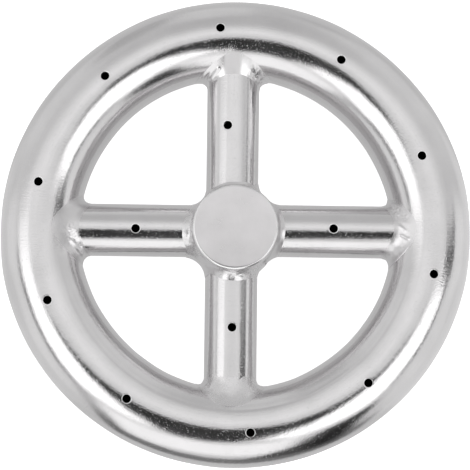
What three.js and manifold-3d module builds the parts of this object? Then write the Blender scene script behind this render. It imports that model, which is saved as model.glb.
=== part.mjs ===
// Ring burner: a ring of bent stainless tube, fed with gas through four spokes from a threaded hub.
// Millimetres and degrees, +Z up. The origin is the centre of the hub's bottom face, where the
// supply pipe screws in. +X is called east and +Y north. The gas ports are in the top of the tubes.

import * as THREE from 'three';
import { mergeVertices } from 'three/addons/utils/BufferGeometryUtils.js';
import Module from 'manifold-3d';

// Ring: two lengths of tube, each bent to half a circle, joined end to end by two butt welds. The
// welds lie at the north and the south, on one line this far off the hub's axis in X.
const ringOutsideDiameter = 152.4;
const ringTubeDiameter = 25.4;
const ringWall = 1.5;
const seamShift = -1.4;
const seamWidth = 3;

// Spokes: four straight tubes, set between the hub and the ring by hand
const spokeTubeDiameter = 17;
const spokeWall = 1.5;
// The north and south spokes lie this far off the hub's axis in X, the other two this far in Y
const spokeLineShift = new THREE.Vector2(-1.3, 0.5);
// Holes in the hub's and the ring's wall that join their inside to each spoke's bore
const passageDiameter = 13;

// Hub: one turned piece with a solid top and a blind threaded inlet below. Its side stands out by
// its shoulder past the corners where neighbouring spokes would meet if they were on its axis.
const hubShoulder = 1.48;
const hubAboveRingMiddle = 12;
const hubBelowRingMiddle = 20;
const hubTopThickness = 5;
const hubEdgeChamfer = 0.6;

// Inlet: tapered pipe thread of half an inch, 14 threads to the inch, 21.2 mm across at its mouth,
// above a plain relief. The hub keeps this wall outside it. The groove's mouth takes this share of
// the pitch, and its cut starts this far inside the drilled wall.
const hubWall = 2.9;
const threadDepth = 1.5;
const threadLength = 12.4;
const threadPitch = 1.814;
const threadTaper = 1 / 16;
const inletReliefClearance = 0.4;
const inletReliefDepth = 1.2;
const threadGrooveShare = 0.86;
const grooveOverrun = 0.3;

// Gas ports: drilled by hand, so each is a little off its even place. A ring port drifts this many
// degrees round the ring and lies this far outside the tube's crown.
const portDiameter = 2.7;
const ringPortCount = 10;
const firstRingPortAngle = 94.8;
const ringPortDrift = [0.4, 0.6, 0.8, -0.9, -0.6, -0.3, 0, 0.6, -0.7, 0.1];
const ringPortOutset = [1.8, 1.3, 1.5, 0.9, 1.2, 1.9, 1.3, 1.2, 0.5, 0.8];
// Each spoke, with its port's distance from the hub's axis and its shift off the spoke's crown
const spokePlan = [
  { name: 'east', portDistance: 31.3, portSideShift: -0.1 },
  { name: 'north', portDistance: 33.8, portSideShift: 1.6 },
  { name: 'west', portDistance: 32.3, portSideShift: 0.7 },
  { name: 'south', portDistance: 31.6, portSideShift: 0.3 },
];

// Weld beads: how far each reaches along the spoke and over the other piece, first at the spoke's
// top and bottom and then at its sides, and how much its face bulges (a smooth, ground fillet is
// hollow, so its bulge is negative)
const ringWeld = { alongSpoke: [3, 3.8], overHost: [3.6, 3.2], bulge: 0.5 };
const hubWeld = { alongSpoke: [3, 6], overHost: [2.2, 5], bulge: -0.3 };

// Gap left between pieces that are welded together, and the overrun of every cut
const weldGap = 0.3;
const overrun = 1;

// How finely round shapes are divided
const ringSteps = 72;
const ringTubeSides = 24;
const ringBoreSides = 12;
const hubSides = 48;
const inletSides = 24;
const grooveCorners = 3;
const spokeSides = 32;
const spokeBoreSides = 24;
const passageSides = 20;
const portSides = 12;
const beadSteps = 36;
const beadFaceSteps = 3;

// Sizes that follow from the ones above
const ringTubeRadius = ringTubeDiameter / 2;
const ringMiddleRadius = (ringOutsideDiameter - ringTubeDiameter) / 2;
const ringBoreRadius = ringTubeRadius - ringWall;
const spokeRadius = spokeTubeDiameter / 2;
const spokeBoreRadius = spokeRadius - spokeWall;
const sectorHalfAngle = Math.PI / spokePlan.length;
const hubRadius = spokeRadius / Math.sin(sectorHalfAngle) + hubShoulder;
const threadMouthRadius = hubRadius - hubWall;
const inletRadius = threadMouthRadius - threadDepth;
const inletReliefRadius = threadMouthRadius + inletReliefClearance;
const hubHeight = hubAboveRingMiddle + hubBelowRingMiddle;
const tallest = hubHeight + ringTubeDiameter;

const wasm = await Module();
wasm.setup();

// Solid for joining and cutting, from a closed three.js geometry
function solidOf(geometry) {
  const bare = geometry.index ? geometry.toNonIndexed() : geometry.clone();
  bare.deleteAttribute('normal');
  bare.deleteAttribute('uv');
  const merged = mergeVertices(bare);
  const mesh = new wasm.Mesh({
    numProp: 3,
    vertProperties: new Float32Array(merged.attributes.position.array),
    triVerts: new Uint32Array(merged.index.array),
  });
  return new wasm.Manifold(mesh);
}

// Geometry to show, from a solid
function geometryOf(solid) {
  const mesh = solid.getMesh();
  const geometry = new THREE.BufferGeometry();
  geometry.setAttribute('position', new THREE.BufferAttribute(mesh.vertProperties, 3));
  geometry.setIndex(new THREE.BufferAttribute(mesh.triVerts, 1));
  geometry.computeVertexNormals();
  return geometry;
}

// Solid turned about the Z axis from an outline of [radius, height] points that ends on the axis
function turned(outline, sides) {
  const points = outline.map(([radius, height]) => new THREE.Vector2(radius, height));
  return solidOf(new THREE.LatheGeometry(points, sides).rotateX(Math.PI / 2));
}

// Upright round bar from one height to another, with its axis at (x, y)
function uprightBar(radius, sides, x, y, bottom, top) {
  const bar = new THREE.CylinderGeometry(radius, radius, top - bottom, sides);
  bar.rotateX(Math.PI / 2).translate(x, y, (bottom + top) / 2);
  return solidOf(bar);
}

// Round bar along +X from one distance to another, with its axis at this side shift
function lyingBar(radius, sides, sideShift, start, end) {
  const bar = new THREE.CylinderGeometry(radius, radius, end - start, sides);
  bar.rotateZ(Math.PI / 2).translate((start + end) / 2, sideShift, 0);
  return solidOf(bar);
}

// Ring of round section in the plane of the spokes
function torus(tubeRadius, tubeSides) {
  return solidOf(new THREE.TorusGeometry(ringMiddleRadius, tubeRadius, tubeSides, ringSteps));
}

// Block between these limits in X and Y, tall enough to pass every piece
function block(west, east, south, north) {
  const box = new THREE.BoxGeometry(east - west, north - south, tallest);
  return solidOf(box.translate((west + east) / 2, (south + north) / 2, 0));
}

// Each spoke is described in its own frame: +X runs out along it, +Z is up and the hub's axis is
// at the origin, with the plane through the middle of the ring at height zero. The lines of the
// spokes cross at (crossing, sideShift) in that frame.
const spokes = spokePlan.map((plan, index) => {
  const angle = 2 * index * sectorHalfAngle;
  const outward = new THREE.Vector2(Math.cos(angle), Math.sin(angle));
  const leftward = new THREE.Vector2(-outward.y, outward.x);
  return {
    ...plan,
    angle,
    sideShift: spokeLineShift.dot(leftward),
    crossing: spokeLineShift.dot(outward),
  };
});

// Turns a solid from a spoke's own frame to its place around the hub
function turnedTo(spoke, solid) {
  return solid.rotate([0, 0, THREE.MathUtils.radToDeg(spoke.angle)]);
}

// The room that belongs to one spoke, bounded half way to its neighbours: an upright prism over a
// triangle that opens outward from where the spokes' lines cross
function sectorOf(spoke) {
  const apexX = spoke.crossing + weldGap / 2 / Math.sin(sectorHalfAngle);
  const halfWidth = ringOutsideDiameter * Math.tan(sectorHalfAngle);
  const outline = new THREE.Shape([
    new THREE.Vector2(apexX, spoke.sideShift),
    new THREE.Vector2(apexX + ringOutsideDiameter, spoke.sideShift - halfWidth),
    new THREE.Vector2(apexX + ringOutsideDiameter, spoke.sideShift + halfWidth),
  ]);
  const prism = new THREE.ExtrudeGeometry(outline, { depth: tallest, bevelEnabled: false });
  return solidOf(prism.translate(0, 0, -tallest / 2));
}

function cutAll(solid, cuts) {
  return cuts.reduce((rest, cut) => rest.subtract(cut), solid);
}

// Gas ports of the ring, from its bore up through the top of the tube
function ringPorts() {
  return Array.from({ length: ringPortCount }, (_, index) => {
    const drift = ringPortDrift[index % ringPortDrift.length];
    const radius = ringMiddleRadius + ringPortOutset[index % ringPortOutset.length];
    const degrees = firstRingPortAngle + (index * 360) / ringPortCount + drift;
    const angle = THREE.MathUtils.degToRad(degrees);
    const x = radius * Math.cos(angle);
    const y = radius * Math.sin(angle);
    return uprightBar(portDiameter / 2, portSides, x, y, 0, ringTubeRadius + overrun);
  });
}

// Hole through the ring's inner wall to a spoke
function ringPassage(spoke) {
  const start = ringMiddleRadius - ringTubeRadius - overrun;
  const bar = lyingBar(passageDiameter / 2, passageSides, spoke.sideShift, start, ringMiddleRadius);
  return turnedTo(spoke, bar);
}

// The ring's four pieces, cut from one drilled ring so that they line up
function ringPieces() {
  const shell = torus(ringTubeRadius, ringTubeSides).subtract(torus(ringBoreRadius, ringBoreSides));
  const ring = cutAll(shell, [...ringPorts(), ...spokes.map(ringPassage)]);
  const reach = ringOutsideDiameter;
  const weldWest = seamShift - seamWidth / 2;
  const weldEast = seamShift + seamWidth / 2;
  return [
    part('ring_half_east', ring.intersect(block(weldEast + weldGap, reach, -reach, reach)), tubeSteel),
    part('ring_half_west', ring.intersect(block(-reach, weldWest - weldGap, -reach, reach)), tubeSteel),
    part('ring_butt_weld_north', ring.intersect(block(weldWest, weldEast, 0, reach)), weldMetal),
    part('ring_butt_weld_south', ring.intersect(block(weldWest, weldEast, -reach, 0)), weldMetal),
  ];
}

// Tube from hub to ring, with both ends cut to the surfaces that they meet
function spokeTube(spoke) {
  const tube = lyingBar(spokeRadius, spokeSides, spoke.sideShift, 0, ringMiddleRadius);
  const bore = lyingBar(spokeBoreRadius, spokeBoreSides, spoke.sideShift, -overrun, ringMiddleRadius + overrun);
  const hubClearance = uprightBar(hubRadius + weldGap, hubSides, 0, 0, -tallest, tallest);
  const ringClearance = torus(ringTubeRadius + weldGap, ringTubeSides)
    .rotate([0, 0, -THREE.MathUtils.radToDeg(spoke.angle)]);
  const portY = spoke.sideShift + spoke.portSideShift;
  const port = uprightBar(portDiameter / 2, portSides, spoke.portDistance, portY, 0, spokeRadius + overrun);
  return cutAll(tube.intersect(sectorOf(spoke)), [bore, hubClearance, ringClearance, port]);
}

// Tapered V groove of the inlet thread, as a three-sided strip wound up from below the mouth
function threadGroove() {
  const innerRadius = inletRadius - grooveOverrun;
  const halfWidth = (threadPitch * threadGrooveShare) / 2;
  const stepHeight = threadPitch / inletSides;
  const steps = Math.ceil((threadLength + threadPitch) / stepHeight);
  const positions = [];
  for (let step = 0; step <= steps; step += 1) {
    const height = step * stepHeight - threadPitch;
    const angle = ((step + 1 / 2) * 2 * Math.PI) / inletSides;
    const rootRadius = threadMouthRadius - (height * threadTaper) / 2;
    const corners = [[innerRadius, halfWidth], [rootRadius, 0], [innerRadius, -halfWidth]];
    for (const [radius, rise] of corners) {
      positions.push(radius * Math.sin(angle), -radius * Math.cos(angle), height + rise);
    }
  }
  return solidOf(strip(positions, grooveCorners, false));
}

// Closed skin over sections that follow each other, joined end to start if it is a loop
function strip(positions, corners, isLoop) {
  const sections = positions.length / (3 * corners);
  const lengths = isLoop ? sections : sections - 1;
  const index = [];
  for (let section = 0; section < lengths; section += 1) {
    const here = section * corners;
    const next = ((section + 1) % sections) * corners;
    for (let corner = 0; corner < corners; corner += 1) {
      const after = (corner + 1) % corners;
      index.push(here + corner, here + after, next + after);
      index.push(here + corner, next + after, next + corner);
    }
  }
  if (!isLoop) {
    const last = (sections - 1) * corners;
    for (let corner = 1; corner < corners - 1; corner += 1) {
      index.push(0, corner + 1, corner);
      index.push(last, last + corner, last + corner + 1);
    }
  }
  const geometry = new THREE.BufferGeometry();
  geometry.setAttribute('position', new THREE.Float32BufferAttribute(positions, 3));
  geometry.setIndex(index);
  return geometry;
}

// Hub with its bottom face at height zero
function hubSolid() {
  const ceiling = hubHeight - hubTopThickness;
  const body = turned([
    [0, 0],
    [hubRadius - hubEdgeChamfer, 0],
    [hubRadius, hubEdgeChamfer],
    [hubRadius, hubHeight - hubEdgeChamfer],
    [hubRadius - hubEdgeChamfer, hubHeight],
    [0, hubHeight],
  ], hubSides);
  const inlet = turned([
    [0, -overrun],
    [inletReliefRadius, -overrun],
    [inletReliefRadius, inletReliefDepth],
    [inletRadius, inletReliefDepth],
    [inletRadius, ceiling],
    [0, ceiling],
  ], inletSides);
  const passages = spokes.map((spoke) => {
    const bar = lyingBar(passageDiameter / 2, passageSides, spoke.sideShift, 0, hubRadius + overrun);
    return turnedTo(spoke, bar).translate([0, 0, hubBelowRingMiddle]);
  });
  return cutAll(body, [inlet, ...passages, threadGroove()]);
}

// The hub's side, with the weld gap outside it. A place on it is an angle about the hub's axis
// and a height.
const hubSurface = {
  find(y, z) {
    return [Math.asin(y / (hubRadius + weldGap)), z];
  },
  move([angle, height], sideways, upward) {
    return [angle + sideways / (hubRadius + weldGap), height + upward];
  },
  point([angle, height]) {
    const radius = hubRadius + weldGap;
    return new THREE.Vector3(radius * Math.cos(angle), radius * Math.sin(angle), height);
  },
};

// The ring's inner side, with the weld gap outside it. A place on it is an angle about the hub's
// axis and an angle about the middle of the ring's tube.
const ringSurface = {
  radiusAt(tubeAngle) {
    return ringMiddleRadius - (ringTubeRadius + weldGap) * Math.cos(tubeAngle);
  },
  find(y, z) {
    const tubeAngle = Math.asin(z / (ringTubeRadius + weldGap));
    return [Math.asin(y / this.radiusAt(tubeAngle)), tubeAngle];
  },
  move([angle, tubeAngle], sideways, upward) {
    const movedTubeAngle = tubeAngle + upward / (ringTubeRadius + weldGap);
    return [angle + sideways / this.radiusAt(tubeAngle), movedTubeAngle];
  },
  point([angle, tubeAngle]) {
    const radius = this.radiusAt(tubeAngle);
    const height = (ringTubeRadius + weldGap) * Math.sin(tubeAngle);
    return new THREE.Vector3(radius * Math.cos(angle), radius * Math.sin(angle), height);
  },
};

// Bead that runs round a spoke where it meets a surface. Its section starts at the root, goes out
// along the spoke, across the bulging face and back along the surface.
function saddleBead(spoke, surface, weld, outward) {
  const rootRadius = spokeRadius + weldGap;
  const positions = [];
  for (let step = 0; step < beadSteps; step += 1) {
    const turn = (step * 2 * Math.PI) / beadSteps;
    const sideways = Math.cos(turn);
    const upward = Math.sin(turn);
    const sideShare = sideways ** 2;
    const alongSpoke = THREE.MathUtils.lerp(...weld.alongSpoke, sideShare);
    const overHost = THREE.MathUtils.lerp(...weld.overHost, sideShare);
    const place = surface.find(spoke.sideShift + rootRadius * sideways, rootRadius * upward);
    const root = surface.point(place);
    const onSpoke = root.clone();
    onSpoke.x += outward * alongSpoke;
    const onHost = surface.point(surface.move(place, overHost * sideways, overHost * upward));
    const faceDirection = onSpoke.clone().lerp(onHost, 1 / 2).sub(root).normalize();
    const section = [root];
    for (let face = 0; face <= beadFaceSteps; face += 1) {
      const share = face / beadFaceSteps;
      const bulge = weld.bulge * Math.sin(Math.PI * share);
      section.push(onSpoke.clone().lerp(onHost, share).addScaledVector(faceDirection, bulge));
    }
    // Keeps the bead's skin facing out, whichever way it lies from the surface
    const ordered = outward > 0 ? section : section.reverse();
    ordered.forEach((point) => positions.push(...point.toArray()));
  }
  const bead = solidOf(strip(positions, beadFaceSteps + 2, true));
  return bead.intersect(sectorOf(spoke));
}

// Materials
const tubeSteel = new THREE.MeshStandardMaterial({ color: 0xc6c5c4, roughness: 0.28, metalness: 1 });
const turnedSteel = new THREE.MeshStandardMaterial({ color: 0xbdbcbb, roughness: 0.38, metalness: 1 });
const weldMetal = new THREE.MeshStandardMaterial({ color: 0xb5b0aa, roughness: 0.45, metalness: 1 });

function part(name, solid, material) {
  const mesh = new THREE.Mesh(geometryOf(solid), material);
  mesh.name = name;
  return mesh;
}

// Assembly
const burner = new THREE.Group();
burner.add(part('hub', hubSolid(), turnedSteel));

const atRingHeight = new THREE.Group();
atRingHeight.position.z = hubBelowRingMiddle;
burner.add(atRingHeight);

atRingHeight.add(...ringPieces());

for (const spoke of spokes) {
  const arm = new THREE.Group();
  arm.rotation.z = spoke.angle;
  arm.add(part(`spoke_${spoke.name}`, spokeTube(spoke), tubeSteel));
  arm.add(part(`hub_weld_${spoke.name}`, saddleBead(spoke, hubSurface, hubWeld, 1), weldMetal));
  arm.add(part(`ring_weld_${spoke.name}`, saddleBead(spoke, ringSurface, ringWeld, -1), weldMetal));
  atRingHeight.add(arm);
}

export default burner;
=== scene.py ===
# Looks of the ring burner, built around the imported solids. Lengths are in millimetres until a mesh
# is made, and angles in radians unless a name or a comment says degrees. +X is east and +Y north, as
# in the solids, and each spoke has a frame of its own in which +X runs outward along it.

import math

import bmesh
import bpy
import numpy as np
from mathutils import Matrix, Vector, noise


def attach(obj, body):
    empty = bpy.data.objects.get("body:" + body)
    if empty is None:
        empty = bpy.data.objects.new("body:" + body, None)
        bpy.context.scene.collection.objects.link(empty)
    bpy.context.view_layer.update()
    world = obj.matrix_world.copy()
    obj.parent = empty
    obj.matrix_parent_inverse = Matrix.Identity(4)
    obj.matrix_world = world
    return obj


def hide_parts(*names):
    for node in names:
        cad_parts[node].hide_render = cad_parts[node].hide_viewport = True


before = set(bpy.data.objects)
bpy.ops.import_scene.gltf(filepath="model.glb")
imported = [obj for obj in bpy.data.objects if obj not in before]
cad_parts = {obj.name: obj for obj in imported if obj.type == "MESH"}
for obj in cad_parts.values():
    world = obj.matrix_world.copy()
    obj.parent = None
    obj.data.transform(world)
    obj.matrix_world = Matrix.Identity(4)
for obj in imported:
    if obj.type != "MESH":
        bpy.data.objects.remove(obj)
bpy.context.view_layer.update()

MILLIMETRE = 0.001
QUARTER_TURN = math.pi / 2
FULL_TURN = 2 * math.pi

# Sizes of the solids
RING_OUTSIDE_DIAMETER = 152.4
RING_TUBE_RADIUS = 12.7
RING_BORE_RADIUS = 11.2
RING_MIDDLE_RADIUS = RING_OUTSIDE_DIAMETER / 2 - RING_TUBE_RADIUS
RING_HEIGHT = 20
SEAM_SHIFT = -1.4
SEAM_HALF_WIDTH = 1.5
SEAM_WEST = SEAM_SHIFT - SEAM_HALF_WIDTH
SEAM_EAST = SEAM_SHIFT + SEAM_HALF_WIDTH
SPOKE_RADIUS = 8.5
SPOKE_BORE_RADIUS = 7
PASSAGE_RADIUS = 6.5
HUB_RADIUS = 13.5
HUB_TOP = 32
HUB_CHAMFER = 0.6
HUB_CEILING = 27
INLET_RADIUS = 9.1
THREAD_MOUTH_RADIUS = 10.6
THREAD_LENGTH = 12.4
THREAD_PITCH = 1.814
THREAD_TAPER = 1 / 16
RELIEF_RADIUS = 11
RELIEF_DEPTH = 1.2
PORT_RADIUS = 1.35
RING_PORT_COUNT = 10
FIRST_RING_PORT_DEGREES = 94.8
RING_PORT_DRIFT_DEGREES = [0.4, 0.6, 0.8, -0.9, -0.6, -0.3, 0, 0.6, -0.7, 0.1]
RING_PORT_OUTSETS = [1.8, 1.3, 1.5, 0.9, 1.2, 1.9, 1.3, 1.2, 0.5, 0.8]

# X of the north and south spokes' line, and Y of the east and west ones'
SPOKE_LINE_SHIFT = (-1.3, 0.5)

# Each spoke has its port's place along it and to the left of its line, seen from the hub, and its
# drift, which is how far the welder set it to the left of that line
SPOKES = [
    {"name": "east", "port": (31.3, 0.0), "drift": 0.1},
    {"name": "north", "port": (33.9, 1.8), "drift": 0},
    {"name": "west", "port": (32.3, 0.4), "drift": 0.3},
    {"name": "south", "port": (31.6, 0.3), "drift": 0},
]
for index, spoke in enumerate(SPOKES):
    angle = index * QUARTER_TURN
    spoke["angle"] = angle
    line_shift = -SPOKE_LINE_SHIFT[0] * math.sin(angle) + SPOKE_LINE_SHIFT[1] * math.cos(angle)
    spoke["side_shift"] = line_shift + spoke["drift"]
# The places along a spoke at which the lines of its left and right neighbours cross it
for index, spoke in enumerate(SPOKES):
    left = SPOKES[(index + 1) % len(SPOKES)]
    right = SPOKES[index - 1]
    spoke["crossings"] = (-left["side_shift"], right["side_shift"])
EAST, NORTH, WEST, SOUTH = SPOKES

# How finely the skins are divided
HALF_ROWS = 200
SEAM_ROWS = 4
RING_SIDES = 144
SPOKE_ROWS = 44
SPOKE_SIDES = 56
HUB_SIDES = 192
PASSAGE_SIDES = 64
THREAD_ROWS = 12
INLET_ROWS = 12
HUB_BEAD_STEPS = 220
HUB_BEAD_FACE_STEPS = 14
RING_BEAD_STEPS = 300
RING_BEAD_FACE_STEPS = 24

# Edges that turn by more than this are sharp
TUBE_SHARP_DEGREES = 38
HUB_SHARP_DEGREES = 30
BEAD_SHARP_DEGREES = 60


def smooth_step(value, low, high):
    share = np.clip((value - low) / (high - low), 0, 1)
    return share * share * (3 - 2 * share)


def smooth_least(a, b, reach):
    """The lesser of two distances, rounded over where they differ by less than the reach."""
    share = np.clip(0.5 + 0.5 * (b - a) / reach, 0, 1)
    return b + (a - b) * share - reach * share * (1 - share)


def between_turns(knots, turns):
    """Values at these turns, smoothly between knots of (turn in degrees, value) that go once round."""
    at = np.array([knot[0] for knot in knots] + [knots[0][0] + 360])
    values = np.array([knot[1] for knot in knots] + [knots[0][1]])
    degrees = (np.degrees(turns) - at[0]) % 360 + at[0]
    after = np.clip(np.searchsorted(at, degrees, side="right"), 1, len(at) - 1)
    share = smooth_step(degrees, at[after - 1], at[after])
    return values[after - 1] + (values[after] - values[after - 1]) * share


def halved(test, low, high, times):
    """Narrows the stretch from low to high, in so many halvings, to where the test stops holding."""
    for _ in range(times):
        middle = (low + high) / 2
        holds = test(middle)
        low = np.where(holds, middle, low)
        high = np.where(holds, high, middle)
    return low, high


def spoke_to_row(spoke, x, y):
    c, s = math.cos(spoke["angle"]), math.sin(spoke["angle"])
    return c * x - s * y, s * x + c * y


# Kinds of face, which are also the places of their materials in a piece
OUTSIDE, BORE, LIP = 0, 1, 2


class Skin:
    """Points and faces of one piece. The grain is where a point lies for the texture of its steel."""

    def __init__(self):
        self.points = []
        self.grain = []
        self.faces = []
        self.kinds = []
        self.count = 0

    def add_points(self, points, grain):
        points = np.asarray(points, float).reshape(-1, 3)
        grain = np.asarray(grain, float).reshape(-1, 3)
        first = self.count
        self.points.append(points)
        self.grain.append(grain)
        self.count += len(points)
        return np.arange(first, self.count)

    def add_face(self, corners, kind=OUTSIDE):
        self.faces.append(tuple(int(c) for c in corners))
        self.kinds.append(kind)

    def bridge(self, loop, after, kind=OUTSIDE):
        """Quads between two closed rows of points of the same length."""
        for k in range(len(loop)):
            n = (k + 1) % len(loop)
            self.add_face((loop[k], loop[n], after[n], after[k]), kind)

    def object(self, name, materials, sharp_degrees, turn=0.0, lift=0.0):
        points = np.concatenate(self.points)
        grain = np.concatenate(self.grain)
        used = np.zeros(len(points), bool)
        for face in self.faces:
            used[list(face)] = True
        place = np.cumsum(used) - 1
        faces = [tuple(int(place[c]) for c in face) for face in self.faces]
        points = points[used]
        c, s = math.cos(turn), math.sin(turn)
        spun = np.stack([
            points[:, 0] * c - points[:, 1] * s,
            points[:, 0] * s + points[:, 1] * c,
            points[:, 2] + lift,
        ], 1)
        mesh = bpy.data.meshes.new(name)
        mesh.from_pydata((spun * MILLIMETRE).tolist(), [], faces)
        mesh.polygons.foreach_set("use_smooth", [True] * len(faces))
        for material in materials:
            mesh.materials.append(material)
        mesh.polygons.foreach_set("material_index", self.kinds)
        attribute = mesh.attributes.new("grain", "FLOAT_VECTOR", "POINT")
        attribute.data.foreach_set("vector", grain[used].astype(np.float32).ravel())
        shape = bmesh.new()
        shape.from_mesh(mesh)
        bmesh.ops.recalc_face_normals(shape, faces=shape.faces)
        shape.to_mesh(mesh)
        shape.free()
        mesh.update()
        mesh.set_sharp_from_angle(angle=math.radians(sharp_degrees))
        piece = bpy.data.objects.new(name, mesh)
        bpy.context.scene.collection.objects.link(piece)
        return piece


# Unevenness of the bent ring: waves with a height in millimetres, a count round the ring, a count
# round the tube and a phase
RING_WAVES = [
    (0.012, 9, 1, 0.4), (0.010, 14, 2, 1.9), (0.008, 23, 1, 3.3), (0.006, 31, 3, 5.1), (0.005, 47, 2, 0.9),
]

# The dent beside each seam is nothing at this place round the tube, and deepest half a turn on
SEAM_DENT = 0.16
SEAM_DENT_WIDTH = 2.6
SEAM_DENT_END = 0.5

# The top of the ring's south half is ground a little flat, out to a faint crease on the inside. The
# flat starts and ends this many degrees off the top, and ends farther off away from due south. It
# fades in as the share of the way south rises from the first value to the second.
FLAT_START_DEGREES = 4
FLAT_END_DEGREES = 23
FLAT_SPREAD_DEGREES = 7
FLAT_SOUTH_SHARES = (0.1, 0.5)
CREASE_DEGREES = 7
CREASE_HEIGHT = 0.22


def ring_dent(around, turn):
    """How far the ring's skin lies inside a true round tube, at the seams most of all."""
    dent = 0.0
    for height, count, side_count, phase in RING_WAVES:
        dent = dent + height * (1 + np.sin(count * around + side_count * turn + phase))
    south_share = -np.sin(around)
    inward = np.degrees(turn) - 90
    flat_end = FLAT_END_DEGREES + FLAT_SPREAD_DEGREES * (1 - south_share)
    rise = np.clip((inward - FLAT_START_DEGREES) / (flat_end - FLAT_START_DEGREES), 0, 1) ** 2
    fall = smooth_step(inward, flat_end + CREASE_DEGREES, flat_end)
    dent = dent - CREASE_HEIGHT * rise * fall * smooth_step(south_share, *FLAT_SOUTH_SHARES)
    off_seam = RING_MIDDLE_RADIUS * np.cos(around) - SEAM_SHIFT
    seam_share = 0.5 - 0.5 * np.cos(turn - SEAM_DENT_END)
    return dent + SEAM_DENT * np.exp(-((off_seam / SEAM_DENT_WIDTH) ** 2)) * seam_share


# How far the outer side of the ring stands out of a true circle, and its inner side in from one, by
# the direction in degrees from the east. The tube went slightly oval when it was bent.
RING_OUTER_SWELL = [
    (0, 0.03), (15, 0.18), (28, 0.2), (45, 0.13), (60, 0.05), (90, 0), (110, -0.03), (135, -0.1),
    (155, 0), (166, 0.1), (180, 0.03), (194, 0.34), (208, 0.36), (222, 0.25), (240, 0.1), (262, 0),
    (290, 0), (310, 0.06), (330, 0.15), (348, 0.12),
]
RING_INNER_SWELL = [
    (0, 0), (8, 0.04), (26, 0.36), (45, 0.25), (65, 0.16), (80, 0), (100, 0), (120, -0.15), (132, -0.1),
    (148, 0.1), (160, 0.08), (172, 0), (187, 0.04), (202, 0.33), (222, 0.46), (234, 0.34), (246, 0.06),
    (258, 0), (282, 0), (292, -0.15), (303, 0.05), (320, -0.07), (340, -0.12), (352, 0),
]


def ring_swell(around):
    """How far the ring's tube lies outside its circle, and how much wider its half width is."""
    outer = between_turns(RING_OUTER_SWELL, around)
    inner = between_turns(RING_INNER_SWELL, around)
    return (outer - inner) / 2, (outer + inner) / 2


# A point farther than this before the start of its stretch of the ring is counted a whole turn on
STRETCH_SLACK = 0.2


class RingTube:
    """A stretch of the ring. Its ends are cut square to X, so their angles depend on the radius."""

    def __init__(self, start, end):
        self.start, self.end = start, end

    def place(self, share, turn, radius):
        out = RING_MIDDLE_RADIUS + radius * np.cos(turn)
        start = self.start(out)
        end = self.end(out)
        around = start + share * (end - start)
        true_radius = radius - ring_dent(around, turn)
        shift, widening = ring_swell(around)
        out = RING_MIDDLE_RADIUS + shift + (true_radius + widening) * np.cos(turn)
        height = true_radius * np.sin(turn)
        points = np.stack([out * np.cos(around), out * np.sin(around), height], -1)
        return points, np.stack([RING_MIDDLE_RADIUS * around, true_radius * np.cos(turn), height], -1)

    def lift(self, x, y, radius):
        off = np.hypot(x, y) - RING_MIDDLE_RADIUS
        around = np.arctan2(y, x)
        before = around < self.start(RING_MIDDLE_RADIUS) - STRETCH_SLACK
        around = np.where(before, around + FULL_TURN, around)
        shift, widening = ring_swell(around)
        across = (off - shift) / (1 + widening / radius)
        true_radius = radius - ring_dent(around, np.arccos(np.clip(across / radius, -1, 1)))
        height = np.sqrt(np.maximum(true_radius**2 - across * across, 0))
        return np.stack([x, y, height], -1), np.stack([RING_MIDDLE_RADIUS * around, off, height], -1)


# Both ends of a spoke's skin stay this far off the hub and the ring
SPOKE_END_GAP = 0.05


class SpokeTube:
    """A spoke in its own frame, from the hub's side to the ring's."""

    def __init__(self, side_shift):
        self.side_shift = side_shift

    def ends(self, turn, radius):
        y = self.side_shift + radius * np.cos(turn)
        z = radius * np.sin(turn)
        start = np.sqrt((HUB_RADIUS + SPOKE_END_GAP) ** 2 - y * y)
        inner = RING_MIDDLE_RADIUS - np.sqrt((RING_TUBE_RADIUS + SPOKE_END_GAP) ** 2 - z * z)
        end = np.sqrt(inner * inner - y * y)
        return start, end

    def place(self, share, turn, radius):
        start, end = self.ends(turn, radius)
        x = start + share * (end - start)
        y = self.side_shift + radius * np.cos(turn) + 0 * share
        z = radius * np.sin(turn) + 0 * share
        return np.stack([x, y, z], -1), np.stack([x, y - self.side_shift, z], -1)

    def lift(self, x, y, radius):
        off = y - self.side_shift
        height = np.sqrt(np.maximum(radius * radius - off * off, 0))
        return np.stack([x, y, height], -1), np.stack([x, off, height], -1)


# A port takes a block of faces out of both skins, this many to each side. Loops of points fill it
# from the border of the block to the rim, and the outer rim rolls over into a lip.
PORT_HALF_BLOCK = 3
PORT_LOOP_SHARES = (0.3, 0.6, 0.85, 1)
PORT_LIP = 0.22
PORT_LIP_DEGREES = (30, 60, 90)


def block_border(row, side):
    """The rows and the sides of the points round a port's block."""
    half = PORT_HALF_BLOCK
    steps = range(-half, half)
    low = [(row - half, side + k) for k in steps]
    right = [(row + k, side + half) for k in steps]
    high = [(row + half, side - k) for k in steps]
    left = [(row - k, side - half) for k in steps]
    return np.array(low + right + high + left).T


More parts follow.
